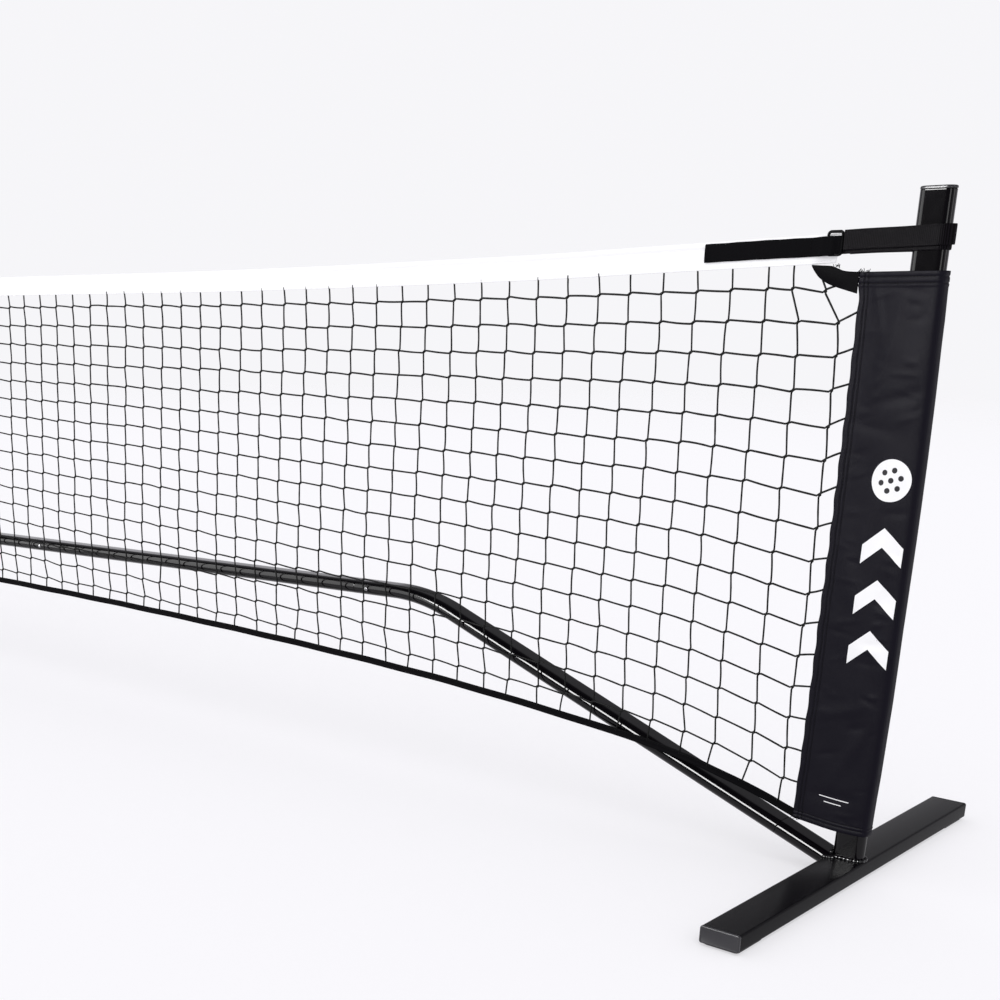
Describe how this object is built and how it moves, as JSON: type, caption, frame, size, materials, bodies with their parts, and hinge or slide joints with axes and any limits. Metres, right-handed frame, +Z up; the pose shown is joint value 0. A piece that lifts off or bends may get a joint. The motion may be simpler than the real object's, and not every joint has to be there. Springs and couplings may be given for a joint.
{
  "type": "portable pickleball net",
  "caption": "Portable court net: oval base tubes and two posts on foot bars carry black knotted mesh with a white headband, post sleeves and cinch straps.",
  "frame": {"origin": "on the ground at the middle of the net", "axes": "+X along the net towards the right-hand post seen from the front, +Y towards the back, +Z up"},
  "size_m": [6.774, 0.786, 0.9653],
  "materials": {
    "powder_coat": "satin black powder coat",
    "plastic": "moulded black plastic",
    "rubber": "matte black rubber",
    "steel": "plated, smooth",
    "nylon": "tight woven black nylon",
    "webbing": "ribbed black webbing",
    "hook_tape": "matte black hook-and-loop tape",
    "white_vinyl": "smooth white coated tape",
    "twine": "knotted black twine",
    "cord": "braided white cord",
    "black_wire": "glossy black wire"
  },
  "bodies": {
    "frame": {"bent_tube_left": "powder_coat", "bent_tube_right": "powder_coat", "foot_stub_left": "powder_coat", "foot_stub_right": "powder_coat", "inner_tube_left": "powder_coat", "inner_tube_right": "powder_coat", "left_foot_bar": "powder_coat", "left_foot_cap_back": "plastic", "left_foot_cap_front": "plastic", "left_foot_pad_back": "rubber", "left_foot_pad_front": "rubber", "middle_foot_bar": "powder_coat", "middle_foot_cap_back": "plastic", "middle_foot_cap_front": "plastic", "middle_foot_pad_back": "rubber", "middle_foot_pad_front": "rubber", "middle_leg": "powder_coat", "middle_tube": "powder_coat", "middle_upright": "powder_coat", "outer_tube_left": "powder_coat", "outer_tube_right": "powder_coat", "post_cap_left": "plastic", "post_cap_right": "plastic", "post_left": "powder_coat", "post_right": "powder_coat", "right_foot_bar": "powder_coat", "right_foot_cap_back": "plastic", "right_foot_cap_front": "plastic", "right_foot_pad_back": "rubber", "right_foot_pad_front": "rubber", "upright_cap": "plastic", "upright_collar": "powder_coat"},
    "net": {"anchor_strip_left": "hook_tape", "anchor_strip_right": "hook_tape", "bottom_band": "webbing", "corner_tab_left": "webbing", "corner_tab_right": "webbing", "head_cord": "cord", "headband": "white_vinyl", "middle_loop": "webbing", "net_mesh": "twine", "post_sleeve_left": "nylon", "post_sleeve_right": "nylon", "strap_loop_left": "webbing", "strap_loop_right": "webbing", "strap_ring_left": "black_wire", "strap_ring_right": "black_wire"},
    "strap_tail_right": {"strap_tail_right": "webbing"},
    "strap_tail_left": {"strap_tail_left": "webbing"},
    "bend_button_left": {"bend_button_left": "steel"},
    "bend_button_right": {"bend_button_right": "steel"},
    "middle_button_left": {"middle_button_left": "steel"},
    "middle_button_right": {"middle_button_right": "steel"},
    "run_button_left": {"run_button_left": "steel"},
    "run_button_right": {"run_button_right": "steel"},
    "stub_button_left": {"stub_button_left": "steel"},
    "stub_button_right": {"stub_button_right": "steel"}
  },
  "joints": [
    {"name": "net_lift", "type": "slide", "parent": "frame", "child": "net", "axis": [0, 0, 1], "range_m": [0, 0.9]},
    {"name": "strap_peel_right", "type": "hinge", "parent": "net", "child": "strap_tail_right", "pos_m": [3.23325, -0.0076, 0.9], "axis": [0, 0, -1], "range_deg": [0, 150]},
    {"name": "strap_peel_left", "type": "hinge", "parent": "net", "child": "strap_tail_left", "pos_m": [-3.23325, -0.0076, 0.9], "axis": [0, 0, 1], "range_deg": [0, 150]},
    {"name": "press_bend_button_left", "type": "slide", "parent": "frame", "child": "bend_button_left", "axis": [0, 1, 0], "range_m": [0, 0.0036]},
    {"name": "press_bend_button_right", "type": "slide", "parent": "frame", "child": "bend_button_right", "axis": [0, 1, 0], "range_m": [0, 0.0036]},
    {"name": "press_middle_button_left", "type": "slide", "parent": "frame", "child": "middle_button_left", "axis": [0, 1, 0], "range_m": [0, 0.0036]},
    {"name": "press_middle_button_right", "type": "slide", "parent": "frame", "child": "middle_button_right", "axis": [0, 1, 0], "range_m": [0, 0.0036]},
    {"name": "press_run_button_left", "type": "slide", "parent": "frame", "child": "run_button_left", "axis": [0, 1, 0], "range_m": [0, 0.0036]},
    {"name": "press_run_button_right", "type": "slide", "parent": "frame", "child": "run_button_right", "axis": [0, 1, 0], "range_m": [0, 0.0036]},
    {"name": "press_stub_button_left", "type": "slide", "parent": "frame", "child": "stub_button_left", "axis": [0, -1, 0], "range_m": [0, 0.0036]},
    {"name": "press_stub_button_right", "type": "slide", "parent": "frame", "child": "stub_button_right", "axis": [0, -1, 0], "range_m": [0, 0.0036]}
  ]
}
